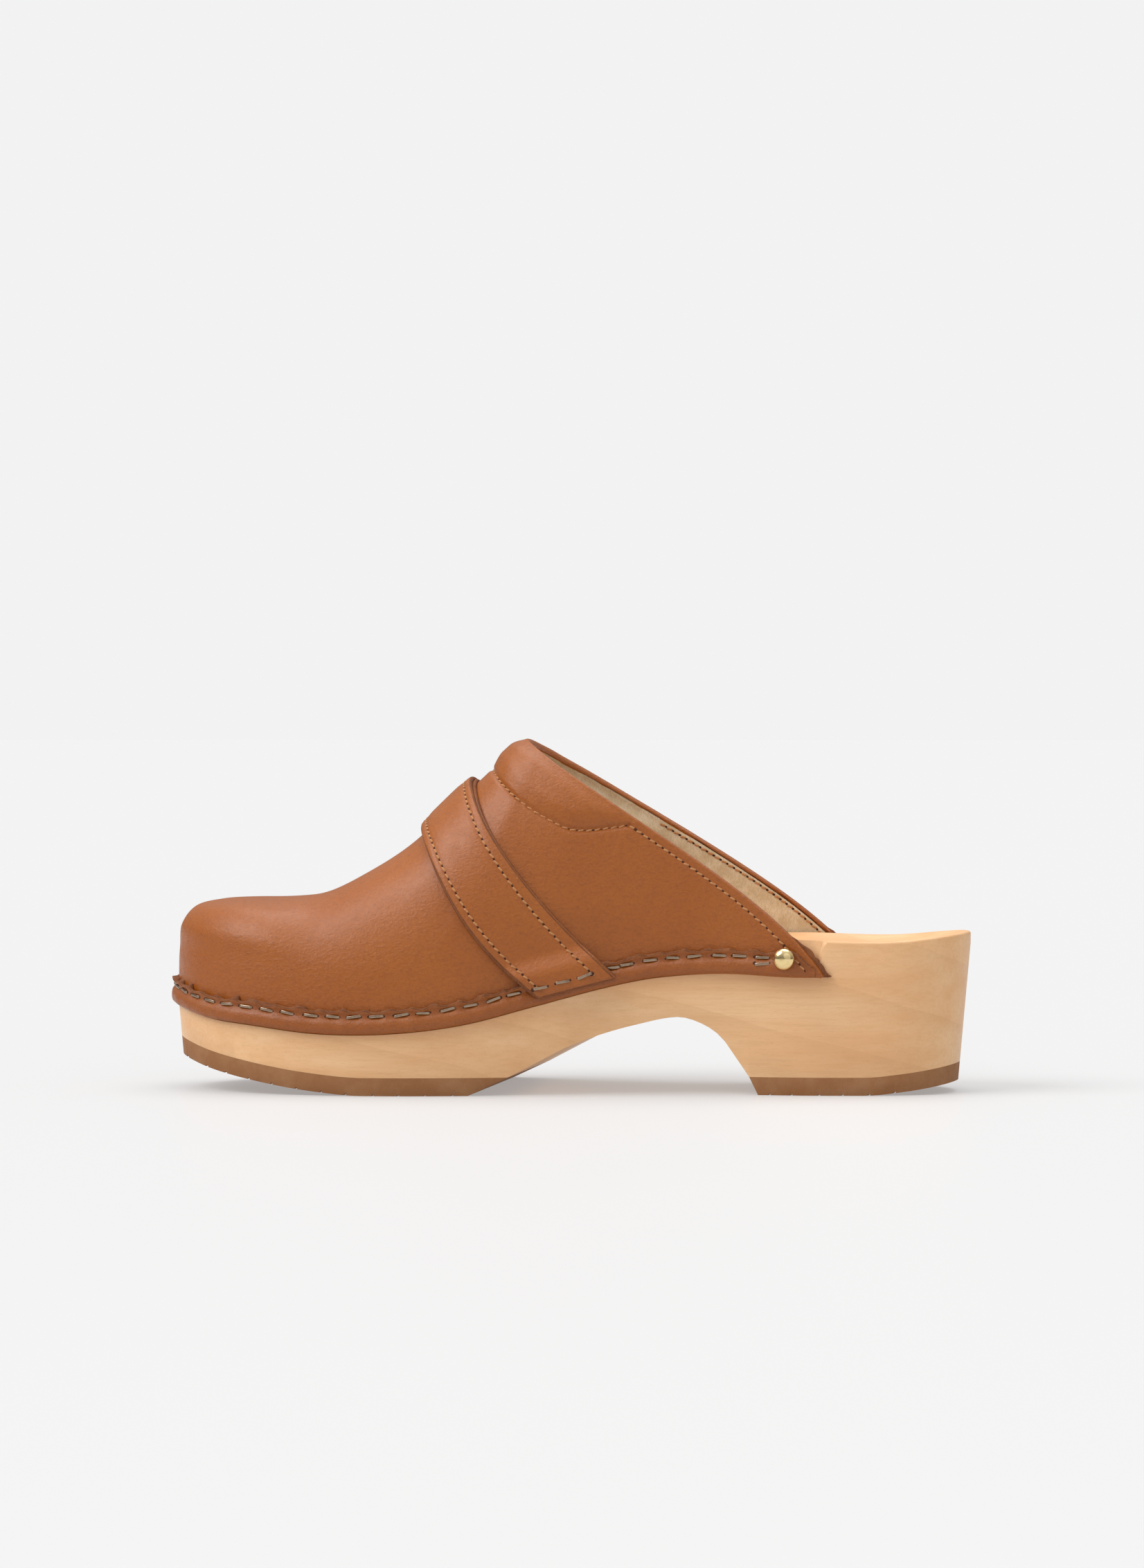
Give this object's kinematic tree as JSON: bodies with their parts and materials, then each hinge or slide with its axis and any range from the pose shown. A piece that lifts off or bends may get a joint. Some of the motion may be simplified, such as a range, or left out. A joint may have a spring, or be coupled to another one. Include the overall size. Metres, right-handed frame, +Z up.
{
  "type": "wooden clog",
  "caption": "Right-foot closed-toe clog: carved wooden sole with heel and arch, leather upper stapled round the edge, instep strap, domed studs, rubber treads.",
  "frame": {"origin": "centre of the shoe's box in plan, on the ground it stands on", "axes": "+X from toe to heel, +Y from the medial to the lateral side, +Z up"},
  "size_m": [0.2624, 0.0984, 0.1145],
  "materials": {
    "alder_wood": "sanded alder, clear satin lacquer",
    "tread_rubber": "matt moulded rubber",
    "cognac_leather": "smooth aniline leather, soft satin",
    "beige_suede": "napped suede",
    "stiffener_sheet": "matt sheet",
    "white_foam": "open-cell foam",
    "polished_brass": "polished",
    "galvanised_wire": "drawn wire, dulled"
  },
  "bodies": {
    "root": {"wooden_sole": "alder_wood", "forefoot_tread": "tread_rubber", "heel_tread": "tread_rubber", "upper": "cognac_leather", "upper_lining": "beige_suede", "toe_puff": "stiffener_sheet", "instep_pad": "white_foam", "welt_strip": "cognac_leather", "instep_strap": "cognac_leather", "strap_backing": "cognac_leather", "stud_medial": "polished_brass", "stud_lateral": "polished_brass", "staple_01": "galvanised_wire", "staple_02": "galvanised_wire", "staple_03": "galvanised_wire", "staple_04": "galvanised_wire", "staple_05": "galvanised_wire", "staple_06": "galvanised_wire", "staple_07": "galvanised_wire", "staple_08": "galvanised_wire", "staple_09": "galvanised_wire", "staple_10": "galvanised_wire", "staple_11": "galvanised_wire", "staple_12": "galvanised_wire", "staple_13": "galvanised_wire", "staple_14": "galvanised_wire", "staple_15": "galvanised_wire", "staple_16": "galvanised_wire", "staple_17": "galvanised_wire", "staple_18": "galvanised_wire", "staple_19": "galvanised_wire", "staple_20": "galvanised_wire", "staple_21": "galvanised_wire", "staple_22": "galvanised_wire", "staple_23": "galvanised_wire", "staple_24": "galvanised_wire", "staple_25": "galvanised_wire", "staple_26": "galvanised_wire", "staple_27": "galvanised_wire", "staple_28": "galvanised_wire", "staple_29": "galvanised_wire", "staple_30": "galvanised_wire", "staple_31": "galvanised_wire", "staple_32": "galvanised_wire", "staple_33": "galvanised_wire", "staple_34": "galvanised_wire", "staple_35": "galvanised_wire", "staple_36": "galvanised_wire", "staple_37": "galvanised_wire", "staple_38": "galvanised_wire", "staple_39": "galvanised_wire", "staple_40": "galvanised_wire", "staple_41": "galvanised_wire", "staple_42": "galvanised_wire", "staple_43": "galvanised_wire", "staple_44": "galvanised_wire", "staple_45": "galvanised_wire", "staple_46": "galvanised_wire"}
  },
  "joints": []
}
